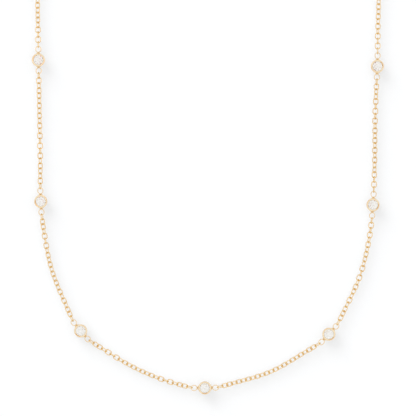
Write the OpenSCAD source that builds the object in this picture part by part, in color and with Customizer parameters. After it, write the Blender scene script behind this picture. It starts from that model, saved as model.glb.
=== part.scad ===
// Station necklace: a fine cable chain with seven round stones in bezel settings, closed by a ring clasp.
// It lies flat on its back, one loop round the origin, with the middle setting towards -Y.

/* [Necklace] */
// Length of the whole loop, measured along the chain
necklace_l = 457.2; // [406:0.1:508]
// Distance along the chain from one setting to the next
setting_gap = 31.75; // [31:0.05:33]

/* [Chain] */
// Thickness of the wire of a link
link_wire = 0.25; // [0.22:0.01:0.27]
// Outside length of a link
link_l = 1.77; // [1.72:0.01:1.88]
// Outside width of a link
link_w = 1.39; // [1.34:0.01:1.5]
// Least clearance between two linked wires
link_play = 0.11; // [0.11:0.005:0.14]
// Links made one by one past each end setting
end_links = 23; // [12:1:27]
// Clearance between the last of those links and the plain stretch that follows
seam_gap = 0.12; // [0.1:0.01:0.25]

/* [Stones] */
// Diameter of a stone at its girdle
stone_d = 2.4; // [2.25:0.05:2.5]
// Width of the table as a share of the diameter
table_share = 0.57; // [0.53:0.01:0.62]
// Slope of the main facets of the crown, in degrees
crown_angle = 34.5; // [33:0.5:36]
// Slope of the main facets of the pavilion, in degrees
pavilion_angle = 40.75; // [39.5:0.25:42]
// Thickness of the girdle
girdle_t = 0.07; // [0.05:0.01:0.1]

/* [Settings] */
// Clearance between a stone and its setting
stone_gap = 0.04; // [0.03:0.01:0.06]
// Thickness of the wall round the girdle
wall_t = 0.26; // [0.24:0.005:0.32]
// Thickness of the back under the point of the stone
back_t = 0.25; // [0.2:0.01:0.4]
// Diameter of the flat back
back_d = 2.24; // [2:0.02:2.6]
// How far the lip reaches over the edge of the stone
lip_over = 0.06; // [0.05:0.01:0.1]
// Thickness of the lip where it ends on the stone
lip_t = 0.05; // [0.04:0.01:0.07]
// Height of the rim over the girdle
rim_rise = 0.24; // [0.2:0.01:0.3]
// Radius of the rounded outer edge of the rim
rim_round = 0.14; // [0.1:0.01:0.18]
// Width of the flat crest of the rim
crest_w = 0.03; // [0.02:0.01:0.06]
// Height of the straight band under the rounded edge
band_h = 0.28; // [0.2:0.01:0.4]
// Outside length of an end ring, along the chain
ring_l = 1.56; // [1.5:0.02:1.76]
// Outside width of an end ring
ring_w = 1.38; // [1.3:0.02:1.5]
// Thickness of the wire of an end ring
ring_wire = 0.21; // [0.19:0.01:0.25]
// Length of the soldered neck that shows between the rim and an end ring
neck_l = 0.18; // [0.1:0.01:0.25]
// Radius of the neck over the edge of the back, inside the wall
neck_r = 0.98; // [0.8:0.02:1]
// Radius of the neck where it ends on the wire of the end ring
neck_end_r = 0.17; // [0.14:0.01:0.2]
// Height over the surface at which the neck is filed flat
neck_z = 0.06; // [0.04:0.01:0.12]

/* [Clasp] */
// Outside diameter of the clasp
clasp_d = 5; // [4.6:0.1:5.6]
// Thickness of the ring of the clasp
clasp_wire = 0.7; // [0.6:0.02:0.8]
// Outside diameter of the loop soldered to the clasp
loop_d = 1.6; // [1.5:0.05:1.8]
// Thickness of the wire of that loop
loop_wire = 0.3; // [0.26:0.01:0.34]
// Outside diameter of the catch ring
catch_d = 2.4; // [2.3:0.05:2.8]
// Thickness of the wire of the catch ring
catch_wire = 0.32; // [0.28:0.01:0.36]
// Lean of the catch ring, in degrees, where 90 stands upright
catch_roll = 60; // [50:1:75]
// Clearance between the catch ring and the clasp
catch_play = 0.12; // [0.1:0.01:0.2]
// Diameter of the knob of the clasp
knob_d = 0.6; // [0.5:0.05:0.7]
// How far the knob stands out of the ring
knob_h = 0.45; // [0.3:0.05:0.6]

/* [Hidden] */

// Points that the chain passes, as x and y from the middle setting, from the left strand to the right one
front_route = [
    [-38.2, 88.5], [-38.1, 82], [-38, 74.9], [-37.8, 64.2], [-37.6, 53.4], [-37.5, 42.6], [-36.6, 34.8],
    [-35, 27.1], [-32.1, 19.8], [-28.5, 12.8], [-22, 8.1], [-15.2, 4.2], [-7.7, 1.3],
    [0, -0.2],
    [7.6, 1.4], [15.2, 3.8], [22.1, 7.7], [28.5, 12.1], [32.5, 19], [35.6, 26.1], [37.5, 33.9],
    [38.4, 41.8], [38.8, 52.3], [38.9, 62], [39.4, 73.4], [39.5, 81], [39.7, 88.5]];

// How far each setting has slid along the chain from its even place, from the left strand to the right one
slips = [-0.35, 0.2, -0.15, 0, -0.25, -0.25, -0.35];

// How far the links are turned about the chain, in degrees, at every eighth of each stretch between settings.
// At 0 every other link lies flat, at 45 they all lean alike. One row for each stretch, from left to right,
// where the first and the last are counted outwards from the end settings.
turns = [
    [0, 6, 40, 50, 47, 45, 43, 23, 0],
    [6, 30, 50, 49, 58, 80, 60, 34, 6],
    [0, 52, 80, 48, 49, 47, 56, 52, 0],
    [0, 52, 80, 46, 49, 47, 76, 52, 0],
    [0, 52, 47, 50, 45, 49, 46, 52, 0],
    [0, 49, 18, 57, 80, 42, 26, 11, 5],
    [4, 8, 53, 60, 50, 68, 78, 36, 0],
    [0, 3, 27, 37, 38, 47, 43, 23, 0]];

// Place of the middle setting in the two lists
middle = 13;
middle_setting = 4;

// Spline steps between two route points
route_steps = 8;
// Route points along each straight rise behind the front, and degrees between those round the back
rise_points = 5;
back_step = 22.5;
// Rings of facets along each plain stretch, and its sides
tube_rings = 34;
tube_sides = 8;

// The route rises straight from the ends of the front and closes in a half circle
left_end = front_route[0];
right_end = front_route[len(front_route) - 1];
back_r = (right_end.x - left_end.x) / 2;
back_x = (right_end.x + left_end.x) / 2;
front_l = path_length(front_route);
rise = (necklace_l - front_l - PI * back_r) / 2;
route = concat(
    front_route,
    [for (i = [1 : rise_points - 1]) right_end + [0, rise * i / rise_points]],
    [for (a = [0 : back_step : 180]) [back_x + back_r * cos(a), right_end.y + rise + back_r * sin(a)]],
    [for (i = [rise_points - 1 : -1 : 1]) left_end + [0, rise * i / rise_points]]);
curve = closed_spline(route, route_steps);
marks = distances(curve);
loop_l = marks[len(marks) - 1];
middle_mark = marks[middle * route_steps];
x_table = [for (i = [0 : len(curve) - 1]) [marks[i], curve[i].x]];
y_table = [for (i = [0 : len(curve) - 1]) [marks[i], curve[i].y]];

// Heights in a setting, from its back up
stone_r = stone_d / 2;
table_r = stone_r * table_share;
bore_r = stone_r + stone_gap;
open_r = stone_r - lip_over;
rim_r = bore_r + wall_t;
culet_z = back_t + stone_gap / cos(pavilion_angle);
girdle_z = culet_z + stone_r * tan(pavilion_angle);
crown_z = girdle_z + girdle_t;
table_z = crown_z + (stone_r - table_r) * tan(crown_angle);
under_lip_z = crown_z + stone_gap / cos(crown_angle);
lip_z = under_lip_z + lip_over * tan(crown_angle);
rim_z = crown_z + rim_rise;

// Places along the chain, measured from the middle setting
link_mid_r = (link_w - link_wire) / 2;
link_inner_l = link_l - 2 * link_wire;
pitch_max = link_inner_l - link_play;
ring_x = rim_r + neck_l + ring_l / 2;
first_link_x = ring_x + ring_l / 2 - ring_wire + link_inner_l / 2 - link_play;
chain_z = link_w / 2;
end_step = even_step(setting_gap - 2 * first_link_x);
tube_x = first_link_x + (end_links - 1) * end_step + link_l / 2 + seam_gap;

// The clasp lies on the catch ring at one side, and the end of its loop on the last link at the other
clasp_mid_r = (clasp_d - clasp_wire) / 2;
loop_x = (clasp_d + loop_d) / 2 - loop_wire / 2;
loop_end = loop_x + (loop_d - loop_wire) / 2;
ring_side_z = catch_wire + 2 * catch_play + clasp_wire / 2;
loop_side_z = link_wire + 2 * catch_play + loop_wire / 2;
clasp_lean = asin((ring_side_z - loop_side_z) / (clasp_mid_r + loop_end));
clasp_z = loop_side_z + loop_end * sin(clasp_lean);
catch_mid_r = (catch_d - catch_wire) / 2;
catch_z = catch_wire / 2 + catch_mid_r * sin(catch_roll);
catch_x = clasp_mid_r + catch_d / 2 - catch_wire - clasp_wire / 2 - 3 * catch_play;
knob_angle = 110;

// The origin lies under the middle of the loop's own box
clasp_point = raw_point(loop_l / 2);
origin = [
    (raw_setting(1).x + raw_setting(len(slips)).x) / 2,
    (clasp_point.y + clasp_d / 2 + raw_setting(middle_setting).y - rim_r) / 2];

function path_length(p, i = 1) = i < len(p) ? norm(p[i] - p[i - 1]) + path_length(p, i + 1) : 0;

// A smooth curve through the points on either side of the stretch from b to c
function spline_point(a, b, c, d, t) =
    (2 * b + (c - a) * t + (2 * a - 5 * b + 4 * c - d) * t ^ 2 + (3 * b - a - 3 * c + d) * t ^ 3) / 2;

function closed_spline(p, steps) =
    let (n = len(p))
    [for (i = [0 : n * steps])
        let (k = floor(i / steps), t = i / steps - k)
        spline_point(p[(k + n - 1) % n], p[k % n], p[(k + 1) % n], p[(k + 2) % n], t)];

function distances(p) =
    [for (i = 0, s = 0; i < len(p); s = s + (i + 1 < len(p) ? norm(p[i + 1] - p[i]) : 0), i = i + 1) s];

function raw_point(s) =
    let (mark = (s + middle_mark + loop_l) % loop_l)
    [lookup(mark, x_table), lookup(mark, y_table)];

function point(s) = raw_point(s) - origin;

function heading(s) =
    let (d = raw_point(s + link_l / 2) - raw_point(s - link_l / 2))
    atan2(d.y, d.x);

function setting_s(k) = (k - middle_setting) * setting_gap + slips[k - 1];

// A setting lies across its two end rings, which are both on the route
function raw_setting(k) = (raw_point(setting_s(k) - ring_x) + raw_point(setting_s(k) + ring_x)) / 2;

// The step that spreads links evenly over a distance without pulling any of them tight. Their number is odd,
// because the links stand upright at both ends of a stretch and every other one is turned back.
function even_step(distance) = distance / (2 * ceil(distance / pitch_max / 2));

function turn(row, share) = lookup(share * 8, [for (j = [0 : 8]) [j, turns[row][j]]]);

// Height of the chain's middle where its links are turned by an angle
function turned_z(angle) = link_wire / 2 + link_mid_r * max(abs(sin(angle)), abs(cos(angle)));

module torus(d, wire) {
    rotate_extrude($fn = 64)
        translate([(d - wire) / 2, 0])
            circle(d = wire, $fn = 24);
}

// A round wire bent to an oval with its length on X: a link, or the end ring of a setting
module oval(length, width, wire) {
    mid_r = (width - wire) / 2;
    straight = length - width;
    for (side = [0, 180])
        rotate([0, 0, side]) {
            translate([straight / 2, 0, 0])
                rotate_extrude(angle = 180, start = -90, $fn = 48)
                    translate([mid_r, 0])
                        circle(d = wire, $fn = 24);
            translate([-straight / 2, mid_r, 0])
                rotate([0, 90, 0])
                    cylinder(h = straight, d = wire, $fn = 24);
        }
}

// One stone, with its axis on Z and its point down, as a round brilliant of 57 facets
module brilliant() {
    star_r = (stone_r + table_r * cos(22.5)) / 2;
    low_r = stone_r * 0.22;
    star_z = crown_z + (stone_r - star_r * cos(22.5)) * tan(crown_angle);
    low_z = culet_z + low_r * cos(22.5) * tan(pavilion_angle);
    points = concat(
        [for (k = [0 : 7]) [table_r * cos(45 * k), table_r * sin(45 * k), table_z]],
        [for (k = [0 : 7]) [star_r * cos(45 * k + 22.5), star_r * sin(45 * k + 22.5), star_z]],
        [for (k = [0 : 15]) [stone_r * cos(22.5 * k), stone_r * sin(22.5 * k), crown_z]],
        [for (k = [0 : 15]) [stone_r * cos(22.5 * k), stone_r * sin(22.5 * k), girdle_z]],
        [for (k = [0 : 7]) [low_r * cos(45 * k + 22.5), low_r * sin(45 * k + 22.5), low_z]],
        [[0, 0, culet_z]]);
    star = 8;
    top = 16;
    bottom = 32;
    low = 48;
    culet = 56;
    faces = concat(
        [[for (k = [7 : -1 : 0]) k]],
        [for (k = [0 : 7]) [k, (k + 1) % 8, star + k]],
        [for (k = [0 : 7]) [k, star + k, top + 2 * k, star + (k + 7) % 8]],
        [for (k = [0 : 7]) [star + k, top + 2 * k + 1, top + 2 * k]],
        [for (k = [0 : 7]) [star + k, top + (2 * k + 2) % 16, top + 2 * k + 1]],
        [for (k = [0 : 15]) [top + k, top + (k + 1) % 16, bottom + (k + 1) % 16, bottom + k]],
        [for (k = [0 : 7]) [low + k, bottom + 2 * k, bottom + 2 * k + 1]],
        [for (k = [0 : 7]) [low + k, bottom + 2 * k + 1, bottom + (2 * k + 2) % 16]],
        [for (k = [0 : 7]) [culet, low + (k + 7) % 8, bottom + 2 * k, low + k]]);
    polyhedron(points, faces);
}

module cup_outside() {
    rotate_extrude($fn = 96) {
        polygon([
            [0, 0],
            [back_d / 2, 0],
            [rim_r, rim_z - rim_round - band_h],
            [rim_r, rim_z - rim_round],
            [rim_r - rim_round, rim_z],
            [0, rim_z]]);
        intersection() {
            translate([rim_r - rim_round, rim_z - rim_round])
                circle(r = rim_round, $fn = 48);
            translate([rim_r - rim_round, rim_z - rim_round])
                square(rim_round);
        }
    }
}

// The hollow follows the stone all round, under the lip too, and opens along the slope inside the rim
module cup_inside() {
    lip_top = [open_r, lip_z + lip_t];
    slope = [rim_r - rim_round - crest_w, rim_z] - lip_top;
    rotate_extrude($fn = 96)
        polygon([
            [0, back_t],
            [bore_r, back_t + bore_r * tan(pavilion_angle)],
            [bore_r, under_lip_z - stone_gap * tan(crown_angle)],
            [open_r, lip_z],
            lip_top,
            lip_top + 2 * slope,
            [0, lip_top.y + 2 * slope.y]]);
}

// The neck widens to the rim's outline, so that the setting looks like a lemon from above
module end_ring() {
    neck_x = back_d / 2;
    neck_end_x = ring_x - (ring_l - ring_wire) / 2;
    intersection() {
        translate([neck_x, 0, chain_z])
            rotate([0, 90, 0])
                cylinder(h = neck_end_x - neck_x, r1 = neck_r, r2 = neck_end_r, $fn = 48);
        translate([0, -rim_r, neck_z])
            cube([ring_x, 2 * rim_r, rim_z]);
    }
    translate([ring_x, 0, chain_z])
        oval(ring_l, ring_w, ring_wire);
}

module at_setting(k) {
    across = raw_point(setting_s(k) + ring_x) - raw_point(setting_s(k) - ring_x);
    translate(concat(raw_setting(k) - origin, 0))
        rotate([0, 0, atan2(across.y, across.x)])
            children();
}

module at_route(s, z, roll) {
    p = point(s);
    translate([p.x, p.y, z])
        rotate([0, 0, heading(s)])
            rotate([roll, 0, 0])
                children();
}

module setting(k) {
    color("gold")
        at_setting(k)
            difference() {
                union() {
                    cup_outside();
                    end_ring();
                    rotate([0, 0, 180])
                        end_ring();
                }
                cup_inside();
            }
}

module stone(k) {
    color("white")
        at_setting(k)
            brilliant();
}

// Links from one place on the route towards another, each a quarter turn on from the last
module link_run(first, step, count, row) {
    for (i = [1 : count]) {
        angle = turn(row, i / (count + 1));
        at_route(first + (i - 1) * step, turned_z(angle), 90 * i + angle)
            oval(link_l, link_w, link_wire);
    }
}

module front_chain() {
    last = len(slips);
    color("gold") {
        for (k = [1 : last - 1]) {
            from = setting_s(k) + first_link_x;
            distance = setting_s(k + 1) - first_link_x - from;
            step = even_step(distance);
            link_run(from, step, round(distance / step) + 1, k);
        }
        link_run(setting_s(1) - first_link_x, -end_step, end_links, 0);
        link_run(setting_s(last) + first_link_x, end_step, end_links, last);
    }
}

// A closed tube along the route, as wide as the chain, from one place to another further on
module chain_tube(from, to) {
    r = link_w / 2;
    z = r * cos(180 / tube_sides);
    points = [for (i = [0 : tube_rings - 1], j = [0 : tube_sides - 1])
        let (s = from + (to - from) * i / (tube_rings - 1),
            p = point(s),
            side = heading(s) - 90,
            a = 360 * (j + 0.5) / tube_sides)
        [p.x + r * cos(a) * cos(side), p.y + r * cos(a) * sin(side), z + r * sin(a)]];
    last = (tube_rings - 1) * tube_sides;
    faces = concat(
        [[for (j = [0 : tube_sides - 1]) j]],
        [[for (j = [tube_sides - 1 : -1 : 0]) last + j]],
        [for (i = [0 : tube_rings - 2], j = [0 : tube_sides - 1])
            let (a = i * tube_sides + j, b = i * tube_sides + (j + 1) % tube_sides)
            [a, a + tube_sides, b + tube_sides, b]]);
    polyhedron(points, faces);
}

module back_chain() {
    half = loop_l / 2;
    color("goldenrod") {
        chain_tube(setting_s(len(slips)) + tube_x, half - catch_x - catch_d / 2 - seam_gap);
        chain_tube(half + loop_x + loop_d / 2 + seam_gap, loop_l + setting_s(1) - tube_x);
    }
}

// The clasp is one plain piece: its ring, a knob and the soldered loop that holds the left strand
module clasp() {
    color("darkgoldenrod")
        translate([clasp_point.x - origin.x, clasp_point.y - origin.y, clasp_z])
            rotate([0, 0, heading(loop_l / 2)])
                rotate([0, clasp_lean, 0]) {
                    torus(clasp_d, clasp_wire);
                    translate([loop_x, 0, 0])
                        torus(loop_d, loop_wire);
                    rotate([0, 0, knob_angle])
                        translate([clasp_mid_r, 0, 0])
                            rotate([0, 90, 0])
                                cylinder(h = clasp_wire / 2 + knob_h, d = knob_d, $fn = 32);
                }
}

module catch_ring() {
    color("gold")
        at_route(loop_l / 2 - catch_x, catch_z, catch_roll)
            torus(catch_d, catch_wire);
}

for (k = [1 : len(slips)]) {
    setting(k);
    stone(k);
}
front_chain();
back_chain();
clasp();
catch_ring();
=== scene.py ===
# A fine gold necklace with seven bezel-set brilliants, lying in its loop on a white surface
import math

import bmesh
import bpy
import numpy as np
from mathutils import Matrix, Vector


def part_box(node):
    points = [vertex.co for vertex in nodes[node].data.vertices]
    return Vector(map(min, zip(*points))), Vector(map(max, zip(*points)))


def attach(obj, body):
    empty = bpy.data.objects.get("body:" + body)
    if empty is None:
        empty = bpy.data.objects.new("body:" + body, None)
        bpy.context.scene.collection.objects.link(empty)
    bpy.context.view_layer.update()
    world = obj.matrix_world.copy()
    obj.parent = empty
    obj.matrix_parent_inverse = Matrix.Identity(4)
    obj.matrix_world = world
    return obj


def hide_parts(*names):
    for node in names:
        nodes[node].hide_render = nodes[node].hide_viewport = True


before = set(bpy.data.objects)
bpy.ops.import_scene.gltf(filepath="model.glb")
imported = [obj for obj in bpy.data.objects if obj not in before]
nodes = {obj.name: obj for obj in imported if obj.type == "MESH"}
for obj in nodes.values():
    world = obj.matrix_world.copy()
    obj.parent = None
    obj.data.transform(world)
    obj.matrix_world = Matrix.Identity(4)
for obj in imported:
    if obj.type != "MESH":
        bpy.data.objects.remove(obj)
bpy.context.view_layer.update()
scene = bpy.context.scene
mm = 0.001
print("stage: frame loaded,", len(nodes), "nodes")


# Shader maths: a Level is a value on its way through a shader, and Python's own signs work on it
class Level:
    def __init__(self, finish, socket):
        self.finish = finish
        self.socket = socket

    def worked(self, operation, first, second):
        return self.finish.node("ShaderNodeMath", {"operation": operation}, {0: first, 1: second})

    def __add__(self, other):
        return self.worked("ADD", self, other)

    def __radd__(self, other):
        return self.worked("ADD", other, self)

    def __mul__(self, other):
        return self.worked("MULTIPLY", self, other)

    def __rmul__(self, other):
        return self.worked("MULTIPLY", other, self)


class Finish:
    def __init__(self, owner):
        owner.use_nodes = True
        self.owner = owner
        self.nodes = owner.node_tree.nodes
        self.links = owner.node_tree.links

    # A node of one type: its settings first, then the values or links of its sockets
    def node(self, kind, settings, sockets, output=0):
        made = self.nodes.new(kind)
        for key, value in settings.items():
            setattr(made, key, value)
        for key, value in sockets.items():
            self.feed(made.inputs[key], value)
        return Level(self, made.outputs[output])

    def feed(self, socket, value):
        if isinstance(value, Level):
            self.links.new(value.socket, socket)
        else:
            socket.default_value = value

    def surface(self, values):
        for key, value in values.items():
            self.feed(self.nodes["Principled BSDF"].inputs[key], value)

    # A pattern that lies still on the piece, so coarse and with so many finer layers
    def noise(self, size, detail):
        place = self.node("ShaderNodeTexCoord", {}, {}, output="Object")
        sockets = {"Vector": place, "Scale": 1 / size, "Detail": detail}
        return self.node("ShaderNodeTexNoise", {}, sockets)

    def between(self, low, high, share):
        return self.node(
            "ShaderNodeMix", {"data_type": "RGBA"}, {"Factor": share, "A": low, "B": high}, output=2)


def newMaterial(name):
    return Finish(bpy.data.materials.new(name))


# Polished yellow gold: a warm metal with faint clouding, soft polishing marks and a slight orange peel
gold = {
    "wire": ((0.885, 0.7, 0.445, 1), (0.925, 0.77, 0.535, 1)),   # the two shades it clouds between
    "cast": ((0.85, 0.67, 0.435, 1), (0.885, 0.74, 0.525, 1)),
    "paintedCrossingShade": (0.825, 0.555, 0.205, 1),   # painted shade where one link crosses the next
    "clouds": {"size": 1.4 * mm, "detail": 3},
    "marks": {"size": 0.09 * mm, "detail": 4},
    "roughness": (0.10, 0.20),
    "peel": {"size": 0.25 * mm, "detail": 2},
    "peelDepth": 0.004 * mm,
    "peelStrength": 0.5,
}


# Where a piece has links that cross each other, an attribute of its mesh says where they do, and the gold
# there is painted a deeper shade in place of the shade between the links
def polishedGold(name, shades, paintsCrossingShade=False):
    finish = newMaterial(name)
    tone = finish.between(*shades, finish.noise(**gold["clouds"]))
    if paintsCrossingShade:
        paintedCrossingShade = finish.node("ShaderNodeAttribute", {"attribute_name": "paintedCrossingShade"}, {}, output="Fac")
        tone = finish.between(tone, gold["paintedCrossingShade"], paintedCrossingShade)
    marks = finish.noise(**gold["marks"])
    low, high = gold["roughness"]
    bump = finish.node("ShaderNodeBump", {}, {
        "Strength": gold["peelStrength"],
        "Distance": gold["peelDepth"],
        "Height": finish.noise(**gold["peel"]),
    })
    finish.surface({
        "Base Color": tone,
        "Metallic": 1,
        "Roughness": low + (high - low) * marks,
        "Normal": bump,
    })
    return finish.owner


# Brilliants: clear, strongly bending, very lightly tinted
brilliant = {
    "clear": (0.99, 0.975, 0.93, 1),
    "tint": (0.97, 0.95, 0.895, 1),
    "clouds": {"size": 0.8 * mm, "detail": 2},
    "bending": 2.42,
}


def clearStone():
    finish = newMaterial("clearStone")
    clouds = finish.noise(**brilliant["clouds"])
    finish.surface({
        "Base Color": finish.between(brilliant["tint"], brilliant["clear"], clouds),
        "Roughness": 0.0,
        "IOR": brilliant["bending"],
        "Transmission Weight": 1.0,
    })
    return finish.owner


goldOfSettings = polishedGold("goldOfSettings", gold["cast"])
# The chain's gold is painted a deeper shade where its links cross
goldOfChain = polishedGold("goldOfChain", gold["wire"], paintsCrossingShade=True)
goldOfClasp = polishedGold("goldOfClasp", gold["wire"])
stoneClear = clearStone()
print("stage: materials ready")


def dress(node, material):
    part = nodes[node]
    part.data.materials.clear()
    part.data.materials.append(material)


stations = 7
for number in range(1, stations + 1):
    dress(f"setting_{number}", goldOfSettings)
    dress(f"stone_{number}", stoneClear)
dress("clasp", goldOfClasp)
dress("catch_ring", goldOfClasp)
dress("front_chain", goldOfChain)
dress("back_chain", goldOfChain)


# One link: a round wire bent to an oval
link = {
    "length": 1.68 * mm,
    "width": 1.39 * mm,
    "wire": 0.25 * mm,
    "play": 0.02 * mm,
    "crossingShadeFrom": 0.34 * mm,   # from the link's middle, where the painted shade of its crossing starts
    "crossingShadeFull": 0.6 * mm,
    "aroundWire": 6,
    "aroundLink": 16,
}
linkMid = (link["width"] - link["wire"]) / 2
linkInside = link["length"] - 2 * link["wire"]


def ovalLink():
    shape = bmesh.new()
    bmesh.ops.create_circle(
        shape, segments=link["aroundWire"], radius=link["wire"] / 2,
        matrix=Matrix.Translation((linkMid, 0, 0)) @ Matrix.Rotation(math.pi / 2, 4, "X"))
    halfStep = math.pi / link["aroundLink"]
    bmesh.ops.rotate(
        shape, verts=shape.verts, cent=(0, 0, 0), matrix=Matrix.Rotation(halfStep, 3, "Z"))
    bmesh.ops.spin(
        shape, geom=shape.verts[:] + shape.edges[:], cent=(0, 0, 0), axis=(0, 0, 1),
        angle=2 * math.pi, steps=link["aroundLink"], use_merge=True, use_duplicate=False)
    stretch = (link["length"] - link["width"]) / 2
    for side in (-1, 1):
        end = [vert for vert in shape.verts if vert.co.x * side > 0]
        bmesh.ops.translate(shape, verts=end, vec=(side * stretch, 0, 0))
    bmesh.ops.recalc_face_normals(shape, faces=shape.faces)
    for face in shape.faces:
        face.smooth = True
    # Each end of the link, where the next link crosses it, is marked for a painted shade that rises towards
    # its tip
    paintedCrossingShade = shape.verts.layers.float.new("paintedCrossingShade")
    for vert in shape.verts:
        past = abs(vert.co.x) - link["crossingShadeFrom"]
        vert[paintedCrossingShade] = min(1, max(0, past / (link["crossingShadeFull"] - link["crossingShadeFrom"])))
    mesh = bpy.data.meshes.new("ovalLink")
    shape.to_mesh(mesh)
    shape.free()
    return mesh


def chainOf(name, places, slotName, material, *stoodFor):
    template = ovalLink()
    joined = bmesh.new()
    for place in places:
        before = len(joined.verts)
        joined.from_mesh(template)
        joined.verts.ensure_lookup_table()
        bmesh.ops.transform(joined, matrix=place, verts=joined.verts[before:])
    mesh = bpy.data.meshes.new(name)
    joined.to_mesh(mesh)
    joined.free()
    bpy.data.meshes.remove(template)
    mesh.materials.append(material)
    piece = bpy.data.objects.new(name, mesh)
    scene.collection.objects.link(piece)
    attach(piece, "root")
    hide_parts(*stoodFor)
    print("stage:", name, "with", len(places), "links")


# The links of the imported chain, each as a matrix with X along the link and Z through its hole
def packedLinks(node):
    mesh = nodes[node].data
    points = np.empty(3 * len(mesh.vertices))
    mesh.vertices.foreach_get("co", points)
    points = points.reshape(-1, 3)
    corners = np.empty(len(mesh.loops), int)
    mesh.loops.foreach_get("vertex_index", corners)
    triangles = corners.reshape(-1, 3)
    # The triangles are cut into runs where one has only new points, as the first of each link does, and runs
    # that meet at a point are parts of one link
    reached = np.maximum.accumulate(triangles.max(axis=1))
    firstOfNext = np.flatnonzero(triangles.min(axis=1)[1:] > reached[:-1]) + 1
    points, merged = np.unique(points, axis=0, return_inverse=True)
    linkOf = np.full(len(points), -1)
    for number, run in enumerate(np.split(triangles, firstOfNext)):
        own = merged.ravel()[np.unique(run)]
        for met in set(linkOf[own]) - {-1}:
            linkOf[linkOf == met] = number
        linkOf[own] = number
    places = []
    for number in np.unique(linkOf):
        own = points[linkOf == number]
        centre = (own.min(axis=0) + own.max(axis=0)) / 2
        # Its points spread least through its hole and most along its length
        directions = np.linalg.eigh(np.cov((own - centre).T))[1]
        through = Vector(directions[:, 0])
        along = Vector(directions[:, 2])
        turned = Matrix((along, through.cross(along), through)).transposed()
        places.append(Matrix.Translation(centre) @ turned.to_4x4())
    return places


frontLinks = packedLinks("front_chain")
chainOf("frontChain", frontLinks, "chain_gold", goldOfChain, "front_chain")


# Round the back, each strand runs on straight and then round a half circle to the clasp
clasp = {
    "diameter": 5.0 * mm,
    "wire": 0.7 * mm,
    "loopDiameter": 1.6 * mm,
    "loopWire": 0.3 * mm,
    "catchDiameter": 2.4 * mm,
    "catchWire": 0.32 * mm,
    "catchRoom": 0.36 * mm,   # between the clasp's wire and the catch ring's, inside the clasp
    "catchRoll": math.radians(60),
    "lifts": (0.06 * mm, 0.17 * mm, 0.29 * mm),   # of the last links, up to the leaning catch ring
}
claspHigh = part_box("clasp")[1]
claspCentre = Vector((claspHigh.x, claspHigh.y, 0)) - Vector((1, 1, 0)) * clasp["diameter"] / 2
leftEnd = max((place for place in frontLinks if place.translation.x < 0), key=lambda p: p.translation.y)
rightEnd = max((place for place in frontLinks if place.translation.x > 0), key=lambda p: p.translation.y)
backRadius = (rightEnd.translation.x - leftEnd.translation.x) / 2
backMiddle = (rightEnd.translation.x + leftEnd.translation.x) / 2
backCentre = Vector((backMiddle, claspCentre.y - backRadius, 0))


def restingHeight(roll):
    return link["wire"] / 2 + linkMid * max(abs(math.sin(roll)), abs(math.cos(roll)))


# A place on one strand, so far on from its last front link, with its heading
def alongBack(side, start, distance):
    straight = backCentre.y - start.y
    if distance < straight:
        return Vector((start.x, start.y + distance, 0)), math.pi / 2
    angle = (distance - straight) / backRadius
    spot = backCentre + backRadius * Vector((side * math.cos(angle), math.sin(angle), 0))
    return spot, math.pi / 2 + side * angle


# The links from a strand's last front link to the clasp, each about a quarter turn on from the one before
def backStrand(side, end, stopShort, lastRoll, lifts):
    start = end.translation
    quarter = backRadius * math.pi / 2
    claspAngle = math.asin((claspCentre.x - backCentre.x) / backRadius)
    length = backCentre.y - start.y + quarter - side * backRadius * claspAngle - stopShort
    count = math.ceil(length / (linkInside - link["play"]))
    through = end.to_3x3().col[2]
    firstRoll = math.atan2(through.x, through.z)   # the strand heads along +Y there
    # The turn that is left over, shared out so that the last link has the lean that it needs
    drift = (lastRoll - firstRoll - count * math.pi / 2 + math.pi / 2) % math.pi - math.pi / 2
    places = []
    for i in range(1, count + 1):
        spot, heading = alongBack(side, start, length * i / count)
        roll = firstRoll + i * (math.pi / 2 + drift / count)
        left = count - i
        lift = lifts[len(lifts) - 1 - left] if left < len(lifts) else 0
        spot.z = restingHeight(roll) + lift
        turned = Matrix.Rotation(heading, 4, "Z") @ Matrix.Rotation(roll, 4, "X")
        places.append(Matrix.Translation(spot) @ turned)
    return places


# Both ends are measured from the clasp's centre to the middle of the wire that holds the last link
holdLoop = linkInside / 2 - link["play"]
loopEnd = (clasp["diameter"] + clasp["loopDiameter"]) / 2 - clasp["loopWire"] / 2
loopEnd += (clasp["loopDiameter"] - clasp["loopWire"]) / 2
catchMiddle = clasp["diameter"] / 2 - clasp["wire"] + clasp["catchDiameter"] / 2
catchMiddle -= clasp["catchWire"] + clasp["catchRoom"]
catchEnd = catchMiddle + (clasp["catchDiameter"] - clasp["catchWire"]) / 2
backLinks = backStrand(-1, leftEnd, loopEnd + holdLoop - clasp["loopWire"] / 2, math.pi / 2, ())
backLinks += backStrand(
    1, rightEnd, catchEnd + holdLoop - clasp["catchWire"] / 2,
    clasp["catchRoll"] + math.pi / 2, clasp["lifts"])
chainOf("backChain", backLinks, "chain_gold", goldOfChain, "back_chain")


# The picture: straight down on the front of the loop, from far off
picture = {
    "across": 95.0 * mm,
    "centre": (0.03 * mm, -52.11 * mm),
    "chainHeight": 0.69 * mm,
    "distance": 1000 * mm,
    "sensor": 36.0,
    "nearest": 1 * mm,
}


def camera():
    lens = bpy.data.cameras.new("camera")
    lens.sensor_width = picture["sensor"]
    lens.lens = picture["sensor"] * picture["distance"] / picture["across"]
    lens.clip_start = picture["nearest"]
    body = bpy.data.objects.new("camera", lens)
    body.location = (*picture["centre"], picture["chainHeight"] + picture["distance"])
    scene.collection.objects.link(body)
    scene.camera = body


camera()


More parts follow.
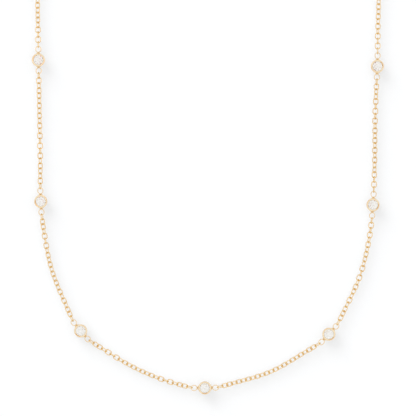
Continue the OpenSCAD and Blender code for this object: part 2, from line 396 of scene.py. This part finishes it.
# The set: a white light table under an even white dome, with a low soft light from the far left
studio = {
    "table": 4.0,   # metres across
    "tableWhite": (0.695, 0.705, 0.715, 1),
    "tableRoughness": 0.9,
    "tableGlow": 0.93,
    "tableLit": 0.36,   # how much of its light comes from above
    "tableDepth": 9 * mm,   # how far light spreads in it
    "dome": 1.06,
    "domeFrom": 0.7,   # how steeply up it is full, 1 being overhead
    "wall": 0.85,
    "keyFrom": (-0.57, 0.74, 0.34),
    "keySpread": 36,   # degrees across
    "keyStrength": 7.0,
    "ballRoughness": 0.6,
    "balls": ({
        "name": "stoneBall",
        "size": 42 * mm,
        "place": (0, -25 * mm, 55 * mm),
        "shade": (0.56, 0.26, 0.24, 1),
        "seenBy": "stones",
    }, {
        "name": "rimBall",
        "size": 64 * mm,
        "place": (0, -35 * mm, 52 * mm),
        "shade": (0.80, 0.58, 0.40, 1),
        "seenBy": "metal",
    }),
}


def whiteTable():
    finish = newMaterial("whiteTable")
    finish.surface({
        "Base Color": studio["tableWhite"],
        "Roughness": studio["tableRoughness"],
        "Specular IOR Level": 0.0,
        "Subsurface Weight": 1.0,
        "Subsurface Radius": (1, 1, 1),
        "Subsurface Scale": studio["tableDepth"],
    })
    glow = finish.node(
        "ShaderNodeEmission", {}, {"Color": (1, 1, 1, 1), "Strength": studio["tableGlow"]})
    lit = Level(finish, finish.nodes["Principled BSDF"].outputs[0])
    both = finish.node("ShaderNodeMixShader", {}, {0: studio["tableLit"], 1: glow, 2: lit})
    finish.feed(finish.nodes["Material Output"].inputs["Surface"], both)
    return finish.owner


def stageFloor():
    shape = bmesh.new()
    bmesh.ops.create_grid(shape, x_segments=1, y_segments=1, size=studio["table"] / 2)
    mesh = bpy.data.meshes.new("floor")
    shape.to_mesh(mesh)
    shape.free()
    mesh.materials.append(whiteTable())
    floor = bpy.data.objects.new("floor", mesh)
    scene.collection.objects.link(floor)


def stageDome():
    world = bpy.data.worlds.new("dome")
    scene.world = world
    finish = Finish(world)
    background = finish.nodes["Background"]
    way = finish.node("ShaderNodeTexCoord", {}, {}, output="Generated")
    height = finish.node("ShaderNodeSeparateXYZ", {}, {"Vector": way}, output="Z")
    strength = finish.node("ShaderNodeMapRange", {"interpolation_type": "SMOOTHSTEP"}, {
        "Value": height,
        "From Min": 0.0,
        "From Max": studio["domeFrom"],
        "To Min": studio["wall"],
        "To Max": studio["dome"],
    })
    finish.feed(background.inputs["Strength"], strength)
    finish.feed(background.inputs["Color"], (1, 1, 1, 1))


# A low light that only the table shows, as a soft shadow to the lower right
def stageKey():
    light = bpy.data.lights.new("key", "SUN")
    light.energy = studio["keyStrength"]
    light.angle = math.radians(studio["keySpread"])
    lamp = bpy.data.objects.new("key", light)
    lamp.rotation_mode = "QUATERNION"
    lamp.rotation_quaternion = Vector(studio["keyFrom"]).to_track_quat("Z", "Y")
    lamp.visible_glossy = False
    lamp.visible_transmission = False
    scene.collection.objects.link(lamp)


# A reddish ball over the middle of the loop, which only the stones show, on their inner sides, and a pale
# orange one, which only the metal mirrors, on the outer side of each rim
def stageBall(ball):
    shape = bmesh.new()
    bmesh.ops.create_uvsphere(shape, u_segments=32, v_segments=16, radius=ball["size"] / 2)
    mesh = bpy.data.meshes.new(ball["name"])
    shape.to_mesh(mesh)
    shape.free()
    finish = newMaterial(ball["name"] + "Shade")
    finish.surface({"Base Color": ball["shade"], "Roughness": studio["ballRoughness"]})
    mesh.materials.append(finish.owner)
    sphere = bpy.data.objects.new(ball["name"], mesh)
    sphere.location = ball["place"]
    sphere.visible_camera = False
    sphere.visible_diffuse = False
    sphere.visible_glossy = ball["seenBy"] == "metal"
    sphere.visible_transmission = ball["seenBy"] == "stones"
    sphere.visible_shadow = False
    scene.collection.objects.link(sphere)


stageFloor()
stageDome()
stageKey()
for ball in studio["balls"]:
    stageBall(ball)
scene.view_settings.view_transform = "Standard"
print("stage: camera, floor and lights set")
